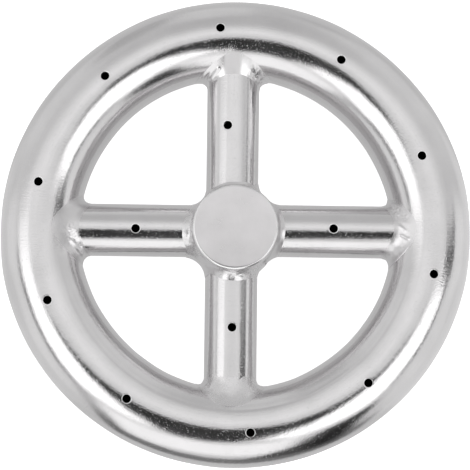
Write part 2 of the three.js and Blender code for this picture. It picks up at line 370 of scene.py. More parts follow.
def drill_port(skin, tube, radii, grids, blocked, x, y):
    """Drills a round port straight down through the top of both skins."""
    outer_points = grids[OUTSIDE][0]
    gap = np.hypot(outer_points[..., 0] - x, outer_points[..., 1] - y)
    gap[outer_points[..., 2] < 0] = np.inf
    row, side = np.unravel_index(np.argmin(gap), gap.shape)
    sides = blocked.shape[1]
    block = np.arange(-PORT_HALF_BLOCK, PORT_HALF_BLOCK)
    blocked[np.ix_(row + block, (side + block) % sides)] = True
    rows_of, sides_of = block_border(row, side)
    sides_of = sides_of % sides
    centre = np.array([x, y])

    def fine_border(points):
        """Plan points of the border, and the middles between them."""
        plan = points[rows_of, sides_of][:, :2]
        fine = np.empty((2 * len(plan), 2))
        fine[0::2] = plan
        fine[1::2] = (plan + np.roll(plan, -1, 0)) / 2
        return fine

    off_centre = fine_border(outer_points) - centre
    angles = np.arctan2(off_centre[:, 1], off_centre[:, 0])
    ring = np.stack([np.cos(angles), np.sin(angles)], 1)
    rims = {}
    for kind, rim_radius in ((OUTSIDE, PORT_RADIUS + PORT_LIP), (BORE, PORT_RADIUS)):
        points, ids = grids[kind]
        fine = fine_border(points)
        circle = centre + rim_radius * ring
        loops = []
        for share in PORT_LOOP_SHARES:
            mixed = fine + (circle - fine) * share
            loops.append(skin.add_points(*tube.lift(mixed[:, 0], mixed[:, 1], radii[kind])))
        border = ids[rows_of, sides_of]
        first = loops[0]
        for k, corner in enumerate(border):
            after = border[(k + 1) % len(border)]
            skin.add_face((corner, after, first[(2 * k + 2) % len(first)], first[2 * k + 1]), kind)
            skin.add_face((corner, first[2 * k + 1], first[2 * k]), kind)
        for outer, inner in zip(loops[:-1], loops[1:]):
            skin.bridge(outer, inner, kind)
        rims[kind] = loops[-1]
    rim = rims[OUTSIDE]
    for roll in np.radians(PORT_LIP_DEGREES):
        edge = centre + (PORT_RADIUS + PORT_LIP * (1 - math.sin(roll))) * ring
        points, grain = tube.lift(edge[:, 0], edge[:, 1], radii[OUTSIDE])
        points[:, 2] -= PORT_LIP * (1 - math.cos(roll))
        after = skin.add_points(points, grain)
        skin.bridge(rim, after, LIP)
        rim = after
    skin.bridge(rim, rims[BORE], BORE)


def drilled_tube(tube, radius, bore_radius, rows, sides, ports):
    """A closed piece of tube with round ports in its top."""
    skin = Skin()
    turns = np.arange(sides) * FULL_TURN / sides + QUARTER_TURN
    share_grid, turn_grid = np.meshgrid(np.linspace(0, 1, rows + 1), turns, indexing="ij")
    radii = {OUTSIDE: radius, BORE: bore_radius}
    grids = {}
    for kind, skin_radius in radii.items():
        points, grain = tube.place(share_grid, turn_grid, skin_radius)
        ids = skin.add_points(points, grain).reshape(rows + 1, sides)
        grids[kind] = (points, ids)
    blocked = np.zeros((rows, sides), bool)
    for x, y in ports:
        drill_port(skin, tube, radii, grids, blocked, x, y)
    for kind in (OUTSIDE, BORE):
        ids = grids[kind][1]
        for i, j in np.argwhere(~blocked):
            n = (j + 1) % sides
            skin.add_face((ids[i, j], ids[i, n], ids[i + 1, n], ids[i + 1, j]), kind)
    for end in (0, rows):
        skin.bridge(grids[OUTSIDE][1][end], grids[BORE][1][end], BORE)
    return skin


def ring_ports():
    """Plan points of the ring's ports."""
    places = []
    for index, (drift, outset) in enumerate(zip(RING_PORT_DRIFT_DEGREES, RING_PORT_OUTSETS)):
        radius = RING_MIDDLE_RADIUS + outset
        angle = math.radians(FIRST_RING_PORT_DEGREES + index * 360 / RING_PORT_COUNT + drift)
        places.append((radius * math.cos(angle), radius * math.sin(angle)))
    return places


def in_north(x):
    """The angle from +X at which the ring north of the hub passes this X, for each radius."""
    return lambda out: np.arccos(x / out)


def in_south(x, turns=0):
    """The same south of the hub, with this many whole turns more."""
    return lambda out: turns * FULL_TURN - np.arccos(x / out)


# Finer forms of the hub. The middle of its top lies off the axis and the top is wider than the hub
# below, its face has a low crown and a rounded rim, and its edges are broken.
HUB_TOP_LEAN = (-0.35, 0.3)
HUB_TOP_FLARE = 0.3
HUB_FACE_DOME = 0.16
HUB_FACE_ROUNDING = 0.5
HUB_EDGE = 0.06
RELIEF_EDGE = 0.1

# Radii of the rows of points on the hub's face and on its inlet's ceiling, which rises to the middle,
# and heights of the rows on its side, each with its share of the top's lean
HUB_FACE_RADII = [0.6, 3, 6, 9, 11.5]
HUB_SIDE_LEAN_SHARES = [(24, 0.4), (16, 0), (8, 0)]
CEILING_RADII = [6, 3, 0.6]
CEILING_SLOPE = 0.12

# Shares of the thread's flank that are flat at its root, and likewise at its crest, and that are
# rounded, and how far past the thread the plain inlet starts
THREAD_FLAT_SHARE = 0.06
THREAD_ROUND_SHARE = 0.35
THREAD_RUNOUT = 0.3


def hub_blank():
    """The hub without its passages: an outline turned round, with the thread wound into its inlet."""
    skin = Skin()
    turns = np.arange(HUB_SIDES) * FULL_TURN / HUB_SIDES
    corner = HUB_RADIUS - HUB_CHAMFER
    rows = []

    def add_row(radius, height, kind, lean_share=0):
        radius = radius + HUB_TOP_FLARE * lean_share
        x = radius * np.cos(turns) + HUB_TOP_LEAN[0] * lean_share
        y = radius * np.sin(turns) + HUB_TOP_LEAN[1] * lean_share
        points = np.stack([x, y, np.full_like(turns, height)], 1)
        rows.append((skin.add_points(points, points), kind))

    for radius in HUB_FACE_RADII + [corner - HUB_FACE_ROUNDING, corner - HUB_EDGE]:
        dome = HUB_FACE_DOME * (1 - (radius / corner) ** 2)
        add_row(radius, HUB_TOP + dome, OUTSIDE, 1)
    add_row(corner + HUB_EDGE, HUB_TOP - HUB_EDGE, LIP, 1)
    add_row(HUB_RADIUS - HUB_EDGE, HUB_TOP - HUB_CHAMFER + HUB_EDGE, LIP, 1)
    add_row(HUB_RADIUS, HUB_TOP - HUB_CHAMFER - HUB_EDGE, OUTSIDE, 1)
    for height, lean_share in HUB_SIDE_LEAN_SHARES:
        add_row(HUB_RADIUS, height, OUTSIDE, lean_share)
    add_row(HUB_RADIUS, HUB_CHAMFER + HUB_EDGE, OUTSIDE)
    add_row(HUB_RADIUS - HUB_EDGE, HUB_CHAMFER - HUB_EDGE, LIP)
    add_row(corner + HUB_EDGE, HUB_EDGE, LIP)
    add_row(corner - HUB_EDGE, 0, OUTSIDE)
    add_row(RELIEF_RADIUS + RELIEF_EDGE, 0, OUTSIDE)
    add_row(RELIEF_RADIUS, RELIEF_EDGE, BORE)
    add_row(RELIEF_RADIUS, RELIEF_DEPTH, BORE)
    # Thread: the depth of the groove depends on how far the height is from the nearest turn of it
    thread_end = THREAD_LENGTH + THREAD_PITCH
    for height in np.arange(RELIEF_DEPTH, thread_end, THREAD_PITCH / THREAD_ROWS):
        phase = (height / THREAD_PITCH - turns / FULL_TURN) % 1
        flank = 1 - 2 * np.abs(phase - 0.5)
        straight = np.clip((flank - THREAD_FLAT_SHARE) / (1 - 2 * THREAD_FLAT_SHARE), 0, 1)
        rounded = smooth_step(flank, THREAD_FLAT_SHARE, 1 - THREAD_FLAT_SHARE)
        depth = straight + (rounded - straight) * THREAD_ROUND_SHARE
        root = THREAD_MOUTH_RADIUS - height * THREAD_TAPER / 2
        fade = smooth_step(thread_end - height, 0, THREAD_PITCH)
        add_row(INLET_RADIUS + (root - INLET_RADIUS) * depth * fade, height, BORE)
    for height in np.linspace(thread_end + THREAD_RUNOUT, HUB_CEILING, INLET_ROWS):
        add_row(INLET_RADIUS, height, BORE)
    for radius in CEILING_RADII:
        add_row(radius, HUB_CEILING + (INLET_RADIUS - radius) * CEILING_SLOPE, BORE)
    for (here, _), (after, kind) in zip(rows[:-1], rows[1:]):
        skin.bridge(here, after, kind)
    for row, kind in (rows[0], rows[-1]):
        skin.add_face(row, kind)
    return skin


# Each passage is cut by a hidden bar, whose middle lies this far from the hub's axis
PASSAGE_BAR_LENGTH = 20
PASSAGE_BAR_PLACE = 10.5


def cut_passage(hub, spoke):
    place = (*spoke_to_row(spoke, PASSAGE_BAR_PLACE, spoke["side_shift"]), RING_HEIGHT)
    bpy.ops.mesh.primitive_cylinder_add(
        vertices=PASSAGE_SIDES,
        radius=PASSAGE_RADIUS * MILLIMETRE,
        depth=PASSAGE_BAR_LENGTH * MILLIMETRE,
        location=Vector(place) * MILLIMETRE,
        rotation=(QUARTER_TURN, 0, spoke["angle"] + QUARTER_TURN),
    )
    bar = bpy.context.object
    cut = hub.modifiers.new("passage", "BOOLEAN")
    cut.operation = "DIFFERENCE"
    cut.object = bar
    cut.solver = "EXACT"
    bpy.context.view_layer.objects.active = hub
    bpy.ops.object.modifier_apply(modifier=cut.name)
    bpy.data.objects.remove(bar)


def ridge_height(points, ridge):
    """How far a ridge of weld metal between two plan points lifts each of these points."""
    (x1, y1), (x2, y2), width, height = ridge
    along = np.array([x2 - x1, y2 - y1])
    length = np.linalg.norm(along)
    along = along / length
    off = points[:, :2] - np.array([x1, y1])
    reach = np.clip(off @ along, 0, length)
    gap = np.linalg.norm(off - reach[:, None] * along, axis=1)
    return height * np.exp(-((gap / width) ** 2)) * (points[:, 2] > 0)


def crown(share):
    """How much of a bead's lumps stands at this share of the way over its face: none at its edges."""
    return min(1, 6 * share * (1 - share))


def lumps_and_grains(points, spoke, seed, scales):
    """Coarse and fine noise at the points, different from spoke to spoke."""
    start = Vector((seed[0] * spoke["angle"], seed[1], seed[2]))
    return [np.array([noise.noise(Vector(point) * scale + start) for point in points]) for scale in scales]


def closed_skin(skin, loops):
    for here, after in zip(loops, loops[1:] + loops[:1]):
        skin.bridge(here, after)
    return skin


# How far the hub's fillet reaches: up the hub's side, out along the spokes by the direction in
# degrees from the east, and in the corner to the left of each spoke, seen from the hub. A corner's
# reach is full up to the first height over the spokes' middle, and gone at the second.
FILLET_UP_REACH = 3.2
FILLET_ALONG_REACH = [
    (0, 3.1), (45, 2.6), (78, 3.1), (90, 2.4), (102, 2.7), (135, 2.6), (165, 4.4), (178, 5.6), (190, 6.0),
    (225, 3.0), (258, 4.6), (270, 4.5), (282, 4.2), (315, 2.8),
]
FILLET_CORNER_REACH = {"east": 8.5, "north": 6.2, "west": 8.5, "south": 7.2}
FILLET_CORNER_HEIGHTS = (3, SPOKE_RADIUS + 0.5)


def cylinder_gap(side, height, radius):
    return np.hypot(side, height) - radius


def hub_fillet_gap(x, y, z):
    """Below zero inside the hub, the spokes and a fillet between them, in the row frame."""
    hub = np.hypot(x, y) - HUB_RADIUS
    east = x > 0
    north = y > 0
    line_x = np.where(north, -NORTH["side_shift"], SOUTH["side_shift"])
    line_y = np.where(east, EAST["side_shift"], -WEST["side_shift"])
    north_south = cylinder_gap(x - line_x, z, SPOKE_RADIUS)
    east_west = cylinder_gap(y - line_y, z, SPOKE_RADIUS)
    corner = np.where(
        north,
        np.where(east, FILLET_CORNER_REACH["east"], FILLET_CORNER_REACH["north"]),
        np.where(east, FILLET_CORNER_REACH["south"], FILLET_CORNER_REACH["west"]),
    )
    low = 1 - smooth_step(np.abs(z), *FILLET_CORNER_HEIGHTS)
    reach = FILLET_UP_REACH + (corner - FILLET_UP_REACH) * low
    spokes = smooth_least(north_south, east_west, reach)
    along = between_turns(FILLET_ALONG_REACH, np.arctan2(y, x))
    return smooth_least(spokes / FILLET_UP_REACH, hub / along, 1)


# The height of each hub bead's lumps by the turn round its spoke, as for the ring beads below, and
# its pits and ridges
HUB_BEADS = {
    "east": {"rough": [(0, 0.03), (60, 0.06), (110, 0.1), (160, 0.03), (270, 0.1)], "ridges": []},
    "north": {
        "rough": [(0, 0.04), (60, 0.05), (120, 0.07), (180, 0.04), (270, 0.1)],
        "ridges": [((14.3, -5.4), (14.9, -1.6), 0.4, -0.2), ((14.9, -1.6), (14.6, 2.6), 0.4, -0.16)],
    },
    "west": {
        "rough": [(0, 0.03), (50, 0.2), (90, 0.24), (130, 0.08), (180, 0.03), (270, 0.1)],
        "ridges": [((17.0, -1.6), (16.2, 3.4), 0.5, 0.3), ((17.3, -0.4), (17.6, 0.8), 0.3, 0.14),
                   ((15.2, -2.6), (15.3, 4.2), 0.5, -0.16)],
    },
    "south": {
        "rough": [(0, 0.05), (50, 0.14), (90, 0.14), (130, 0.12), (180, 0.05), (270, 0.1)],
        "ridges": [((16.1, 1.9), (16.9, 2.7), 0.32, -0.34), ((15.8, -1.5), (15.9, -1.0), 0.3, -0.3),
                   ((14.9, 1.6), (15.2, 3.2), 0.4, 0.2), ((15.6, -4.2), (15.2, -1.6), 0.5, 0.15)],
    },
}
HUB_BEAD_SEED = (4.3, 1.7, 8.1)
HUB_BEAD_SCALES = (0.6, 1.8)
HUB_BEAD_LUMP_SHARE = 0.8
HUB_BEAD_GRAIN_SHARE = 0.25

# Rays from a hub bead's root find its face. They tilt from nearly along the spoke to nearly up the
# hub's side, and are tried at so many distances. The metal ends where the gap passes this depth.
RAY_TILT_DEGREES = (1.5, 88.5)
RAY_START = 0.02
RAY_END = 12
RAY_STEPS = 160
RAY_HALVINGS = 14
TILT_HALVINGS = 12
METAL_DEPTH = 0.0015

# How deep the bead's root lies inside the spoke and inside the hub, and its two edges likewise
HUB_BEAD_ROOT_DEPTHS = (0.4, 0.2)
HUB_BEAD_EDGE_DEPTHS = (0.05, 0.35)


def hub_bead(spoke):
    """The fillet of one spoke at the hub: its face, and two hidden sides down to its root."""
    skin = Skin()
    turns = np.arange(HUB_BEAD_STEPS) * FULL_TURN / HUB_BEAD_STEPS
    y = spoke["side_shift"] + SPOKE_RADIUS * np.cos(turns)
    z = SPOKE_RADIUS * np.sin(turns)
    root = np.stack([np.sqrt(HUB_RADIUS**2 - y * y), y, z], 1)
    along = np.tile([1.0, 0.0, 0.0], (HUB_BEAD_STEPS, 1))
    outward = np.stack([0 * turns, np.cos(turns), np.sin(turns)], 1)
    normal = np.stack([root[:, 0], root[:, 1], 0 * turns], 1) / HUB_RADIUS
    over = outward - normal * (outward * normal).sum(1, keepdims=True)
    over /= np.linalg.norm(over, axis=1, keepdims=True)

    def in_metal(points):
        x, y_row = spoke_to_row(spoke, points[:, 0], points[:, 1])
        return hub_fillet_gap(x, y_row, points[:, 2]) < -METAL_DEPTH

    def face_point(tilt):
        """Where a ray from the root, at this tilt off the spoke, leaves the metal."""
        direction = along * np.cos(tilt)[:, None] + over * np.sin(tilt)[:, None]
        distances = np.linspace(RAY_START, RAY_END, RAY_STEPS)
        inside = np.array([in_metal(root + direction * distance) for distance in distances])
        last = len(distances) - 1 - np.argmax(inside[::-1], 0)
        last = np.where(inside.any(0), last, 0)
        low = distances[last]
        high = distances[np.minimum(last + 1, len(distances) - 1)]
        low, _ = halved(lambda far: in_metal(root + direction * far[:, None]), low, high, RAY_HALVINGS)
        return root + direction * low[:, None]

    def past_sector(points):
        """Which points lie past the plane half way to the next spoke."""
        side = points[:, 1] - spoke["side_shift"]
        crossing = np.where(side > 0, *spoke["crossings"])
        return np.abs(side) - (points[:, 0] - crossing) > 0

    least, most = (np.full(HUB_BEAD_STEPS, tilt) for tilt in np.radians(RAY_TILT_DEGREES))
    widest, _ = halved(lambda tilt: ~past_sector(face_point(tilt)), least, most, TILT_HALVINGS)
    clipped = past_sector(face_point(most))
    most = np.where(clipped, widest, most)
    form = HUB_BEADS[spoke["name"]]
    roughness = between_turns(form["rough"], turns)
    away = (along + outward) / math.sqrt(2)
    in_spoke, in_hub = HUB_BEAD_ROOT_DEPTHS
    loops = [skin.add_points(root - outward * in_spoke - normal * in_hub, root)]
    in_spoke, in_hub = HUB_BEAD_EDGE_DEPTHS
    for k in range(HUB_BEAD_FACE_STEPS + 1):
        share = k / HUB_BEAD_FACE_STEPS
        points = face_point(least + (most - least) * share)
        lumps, grains = lumps_and_grains(points, spoke, HUB_BEAD_SEED, HUB_BEAD_SCALES)
        lift = roughness * (HUB_BEAD_LUMP_SHARE * lumps + HUB_BEAD_GRAIN_SHARE * grains)
        for ridge in form["ridges"]:
            lift = lift + ridge_height(points, ridge)
        points = points + away * (lift * crown(share))[:, None]
        if k == 0:
            points = points - outward * in_spoke
        if k == HUB_BEAD_FACE_STEPS:
            points = np.where(clipped[:, None], points, points - normal * in_hub)
        loops.append(skin.add_points(points, points))
    return closed_skin(skin, loops)


# Each ring bead, round its spoke. Turns are in degrees from the spoke's left side, seen from the hub,
# with 90 on top. "along" and "over" are the fillet's reach off the ring and off the spoke, "hollow" is
# 1 for a round hollow face and 0 for a flat one, "rough" is the height of its lumps, "grit" that of
# its grains, and "worn" the share of the way to the ring at which they are ground off. A ridge has two
# plan points in the spoke's frame, a width and a height.
RING_BEADS = {
    "east": {
        "along": [(0, 3.0), (60, 2.4), (90, 2.8), (120, 3.2), (150, 3.0), (180, 3.2), (270, 3.4)],
        "over": [(0, 3.4), (60, 3.0), (90, 2.8), (135, 3.2), (180, 3.4), (270, 3.0)],
        "hollow": [(0, 0.9), (60, 0.9), (90, 0.9), (135, 0.85), (180, 0.9), (270, 0.8)],
        "rough": [(0, 0.3), (40, 0.34), (70, 0.12), (100, 0.08), (140, 0.14), (200, 0.3), (300, 0.3)],
        "grit": [(0, 0.05), (40, 0.14), (62, 0.16), (80, 0.02), (130, 0.01), (180, 0.06), (300, 0.1)],
        "worn": 0.8,
        "ridges": [((51.4, -9.6), (55.0, -5.8), 0.4, 0.5), ((53.0, -1.4), (55.2, -2.6), 0.4, 0.22),
                   ((52.6, 1.6), (54.2, 0.2), 0.4, 0.2)],
    },
    "north": {
        "along": [(0, 3.2), (40, 2.6), (135, 2.6), (180, 4.0), (225, 3.4), (270, 3.4)],
        "over": [(0, 4.0), (40, 3.0), (70, 2.6), (105, 2.6), (135, 3.0), (180, 3.8), (270, 3.0)],
        "hollow": [(0, 0.9), (50, 0.6), (75, 0.4), (105, 0.4), (135, 0.6), (180, 0.8), (270, 0.8)],
        "rough": [(0, 0.1), (40, 0.02), (70, 0.0), (105, 0.0), (125, 0.06), (150, 0.36), (190, 0.4),
                  (270, 0.3)],
        "grit": [(0, 0.05), (40, 0.01), (80, 0.0), (110, 0.0), (135, 0.06), (165, 0.14), (200, 0.1),
                 (300, 0.1)],
        "worn": 1.3,
        "ridges": [((52.4, 6.4), (49.8, 8.6), 0.5, 0.26), ((51.6, 9.8), (49.4, 12.0), 0.5, 0.3)],
    },
    "west": {
        "along": [(0, 3.4), (45, 3.0), (90, 3.0), (150, 3.4), (180, 3.8), (270, 3.4)],
        "over": [(0, 4.2), (45, 3.6), (90, 3.4), (180, 3.4), (270, 3.0)],
        "hollow": [(0, 0.8), (45, 0.7), (90, 0.9), (150, 1.0), (180, 1.0), (270, 0.8)],
        "rough": [(0, 0.3), (40, 0.34), (65, 0.2), (85, 0.1), (110, 0.03), (160, 0.02), (200, 0.08),
                  (300, 0.3)],
        "grit": [(0, 0.04), (40, 0.05), (74, 0.08), (88, 0.2), (98, 0.08), (110, 0.0), (180, 0.02),
                 (300, 0.1)],
        "worn": 0.42,
        "ridges": [((52.4, 4.6), (49.4, 8.6), 0.7, 0.3)],
    },
    "south": {
        "along": [(0, 2.8), (60, 5.2), (90, 5.6), (120, 5.2), (180, 2.6), (270, 3.4)],
        "over": [(0, 3.4), (60, 3.0), (90, 2.4), (120, 3.0), (180, 2.8), (270, 3.0)],
        "hollow": [(0, 1.0), (90, 0.85), (180, 1.0), (270, 0.8)],
        "rough": [(0, 0.16), (30, 0.2), (60, 0.1), (90, 0.05), (120, 0.1), (150, 0.2), (180, 0.2),
                  (270, 0.3)],
        "grit": [(0, 0.06), (45, 0.08), (90, 0.03), (135, 0.08), (180, 0.06), (270, 0.1)],
        "worn": 1.3,
        "ridges": [((46.4, 2.4), (47.9, 1.6), 0.35, -0.26)],
    },
}
RING_BEAD_SEED = (7.7, 3.1, 5.9)
RING_BEAD_SCALES = (0.55, 1.7)
RING_BEAD_LUMP_SHARE = 0.8
RING_BEAD_SWELL_SHARE = 0.12
WORN_FADE_SHARE = 0.2

# The farthest that a ring bead's edges are looked for along the spoke and over the ring, and its face
# off the straight line between them
BEAD_EDGE_REACHES = (16, 12)
BEAD_FACE_REACH = 4
BEAD_HALVINGS = 20

# How deep its hidden sides lie inside the spoke and the ring, and how far its whole face is sunk
RING_BEAD_DEPTH = 0.3
RING_BEAD_SINK = 0.02


def ring_bead(spoke):
    """The fillet of one spoke at the ring: tangent to both, with lumps and ridges where it was not
    ground."""
    skin = Skin()
    form = RING_BEADS[spoke["name"]]
    turns = np.arange(RING_BEAD_STEPS) * FULL_TURN / RING_BEAD_STEPS
    y = spoke["side_shift"] + SPOKE_RADIUS * np.cos(turns)
    z = SPOKE_RADIUS * np.sin(turns)
    tube_turn = np.arcsin(z / RING_TUBE_RADIUS)
    inner = RING_MIDDLE_RADIUS - RING_TUBE_RADIUS * np.cos(tube_turn)
    around = np.arcsin(y / inner)
    root = np.stack([inner * np.cos(around), y, z], 1)
    outward = np.stack([0 * turns, np.cos(turns), np.sin(turns)], 1)
    off_ring = np.stack([
        -np.cos(around) * np.cos(tube_turn), -np.sin(around) * np.cos(tube_turn), np.sin(tube_turn),
    ], 1)
    away = outward + off_ring
    away /= np.linalg.norm(away, axis=1, keepdims=True)

    def ring_gap(points):
        off = np.hypot(points[:, 0], points[:, 1]) - RING_MIDDLE_RADIUS
        return cylinder_gap(off, points[:, 2], RING_TUBE_RADIUS)

    def spoke_gap(points):
        return cylinder_gap(points[:, 1] - spoke["side_shift"], points[:, 2], SPOKE_RADIUS)

    def fillet_gap(points):
        turn = np.arctan2(points[:, 2], points[:, 1] - spoke["side_shift"])
        off_ring_share = ring_gap(points) / between_turns(form["along"], turn)
        off_spoke_share = spoke_gap(points) / between_turns(form["over"], turn)
        return smooth_least(off_ring_share, off_spoke_share, 1)

    def on_spoke(distance):
        return root - np.stack([distance, 0 * turns, 0 * turns], 1)

    def on_ring(distance):
        moved_turn = tube_turn + distance * np.sin(turns) / RING_TUBE_RADIUS
        radius = RING_MIDDLE_RADIUS - RING_TUBE_RADIUS * np.cos(moved_turn)
        moved_around = around + distance * np.cos(turns) / inner
        height = RING_TUBE_RADIUS * np.sin(moved_turn)
        return np.stack([radius * np.cos(moved_around), radius * np.sin(moved_around), height], 1)

    def solve(test, low, high):
        """Where the test, which rises with the value, passes zero."""
        low, high = (np.full(len(turns), float(limit)) for limit in (low, high))
        low, high = halved(lambda value: test(value) < 0, low, high, BEAD_HALVINGS)
        return (low + high) / 2

    along_reach, over_reach, roughness, grit, hollow = (
        between_turns(form[key], turns) for key in ("along", "over", "rough", "grit", "hollow")
    )
    spoke_reach, ring_reach = BEAD_EDGE_REACHES
    start = on_spoke(solve(lambda d: ring_gap(on_spoke(d)) - along_reach, 0, spoke_reach))
    end = on_ring(solve(lambda d: spoke_gap(on_ring(d)) - over_reach, 0, ring_reach))
    loops = [skin.add_points(start - outward * RING_BEAD_DEPTH, start)]
    for k in range(RING_BEAD_FACE_STEPS + 1):
        share = k / RING_BEAD_FACE_STEPS
        chord = start + (end - start) * share
        shift = solve(lambda t: fillet_gap(chord + away * t[:, None]), -BEAD_FACE_REACH, BEAD_FACE_REACH)
        points = chord + away * (shift * hollow)[:, None]
        lumps, grains = lumps_and_grains(points, spoke, RING_BEAD_SEED, RING_BEAD_SCALES)
        lift = roughness * (RING_BEAD_LUMP_SHARE * lumps + RING_BEAD_SWELL_SHARE) + grit * grains
        lift = lift * smooth_step(share, form["worn"] + WORN_FADE_SHARE, form["worn"] - WORN_FADE_SHARE)
        for ridge in form["ridges"]:
            lift = lift + ridge_height(points, ridge)
        points = points + away * (lift * crown(share) - RING_BEAD_SINK)[:, None]
        loops.append(skin.add_points(points, points))
    loops.append(skin.add_points(end - off_ring * RING_BEAD_DEPTH, end))
    loops.append(skin.add_points(root - (off_ring + outward) * RING_BEAD_DEPTH, root))
    return closed_skin(skin, loops)


class Nodes:
    """Builds a node tree from calls that read like formulas."""

    def __init__(self, tree):
        self.tree = tree
        tree.nodes.clear()

    def node(self, kind, **settings):
        made = self.tree.nodes.new(kind)
        for key, value in settings.items():
            setattr(made, key, value)
        return made

    def put(self, socket, value):
        if isinstance(value, bpy.types.NodeSocket):
            self.tree.links.new(value, socket)
        else:
            socket.default_value = value

    def fed(self, kind, **values):
        """A new node with these values in the inputs of these names."""
        made = self.node(kind)
        for key, value in values.items():
            self.put(made.inputs[key.replace("_", " ")], value)
        return made

    def math(self, operation, *values):
        made = self.node("ShaderNodeMath", operation=operation)
        for socket, value in zip(made.inputs, values):
            self.put(socket, value)
        return made.outputs[0]

    def chain(self, operation, values):
        result = values[0]
        for value in values[1:]:
            result = self.math(operation, result, value)
        return result

    def add(self, *values):
        return self.chain("ADD", values)

    def times(self, *values):
        return self.chain("MULTIPLY", values)

    def less(self, value, amount):
        return self.math("SUBTRACT", value, amount)

    def length(self, a, b):
        return self.math("SQRT", self.add(self.times(a, a), self.times(b, b)))

    def parts(self, vector):
        return self.fed("ShaderNodeSeparateXYZ", Vector=vector).outputs

    def step(self, value, low, high, to_low=0.0, to_high=1.0):
        """Smooth change from one value to another as the input goes from low to high."""
        made = self.node("ShaderNodeMapRange", interpolation_type="SMOOTHERSTEP")
        if low > high:
            low, high, to_low, to_high = high, low, to_high, to_low
        for socket, entry in zip(made.inputs, (value, low, high, to_low, to_high)):
            self.put(socket, entry)
        return made.outputs[0]

    def mix(self, share, a, b):
        """Number between a and b."""
        made = self.node("ShaderNodeMix", data_type="FLOAT")
        self.put(made.inputs[0], share)
        self.put(made.inputs[2], a)
        self.put(made.inputs[3], b)
        return made.outputs[0]

    def ellipse(self, x, y, middle, half_sizes, outside, inside):
        """1 inside a soft ellipse and 0 outside it. The last two are where it starts and is full, as
        shares of its half sizes."""
        far_x = self.math("DIVIDE", self.less(x, middle[0]), half_sizes[0])
        far_y = self.math("DIVIDE", self.less(y, middle[1]), half_sizes[1])
        return self.step(self.length(far_x, far_y), outside, inside)

    def finish(self, kind, shader):
        self.fed(kind, Surface=shader.outputs[0])


STEEL_REFLECTION_SHARE = 0.53


def level(picture_level):
    """Brightness of the surroundings that bright steel shows as this level of an sRGB picture."""
    share = picture_level / 255
    linear = share / 12.92 if share <= 0.04045 else ((share + 0.055) / 1.055) ** 2.4
    return linear / STEEL_REFLECTION_SHARE


# The studio, seen from the burner. Places are in degrees off the zenith, x to the east and y to the
# north. Each patch is laid over those before it, with its glow and its strength's share. It is an
# ellipse, with its middle, half sizes and softness, or it has straight edges. An edge is a place along
# "x" or "y", or a distance "off" the zenith. Its slope is how much of the other place is added, and
# then come the places where the patch starts and where it is full. A bend is an edge from below.
LAMP = 2.1
ROOM_GLOW = level(184)
WALLS = [
    # A pale zenith, and the wide mid grey north with its paler patches and darker wedge
    {"glow": level(216), "edges": [("off", 0, 62, 8)]},
    {"glow": level(186), "edges": [("y", 0, 24, 46)]},
    {"glow": level(166), "share": 0.85, "ellipse": (0, 62, 26, 32, 1.4)},
    {"glow": level(198), "share": 0.6, "ellipse": (-70, 54, 24, 22, 1.4)},
    {"glow": level(198), "share": 0.4, "ellipse": (66, 66, 30, 24, 1.4)},
    {"glow": level(154), "share": 0.8, "ellipse": (-36, 84, 14, 22, 1.2)},
    {"glow": level(192), "share": 0.8, "ellipse": (-8, 88, 14, 24, 0.9)},
    {"glow": level(164), "share": 0.7, "ellipse": (34, 98, 18, 16, 1.2)},
    # East and west of the zenith
    {"glow": level(206), "share": 0.8, "ellipse": (-94, 8, 30, 16, 1.0)},
    {"glow": level(212), "share": 0.8, "ellipse": (94, 6, 34, 18, 1.0)},
    {"glow": level(206), "share": 0.8, "ellipse": (-78, -34, 20, 34, 1.2)},
    {"glow": level(208), "share": 0.7, "ellipse": (78, -34, 22, 34, 1.2)},
]

# The pale floor below the horizon, from west to east and far off
GROUND = {
    "west": level(190), "east": level(198), "far": level(178),
    "east_edge": ("x", 0, -60, 60),
    "far_edges": [("y", 0, 50, 85), ("y", 0, -75, -100)],
    "horizon": ("off", 0, 98, 112),
}

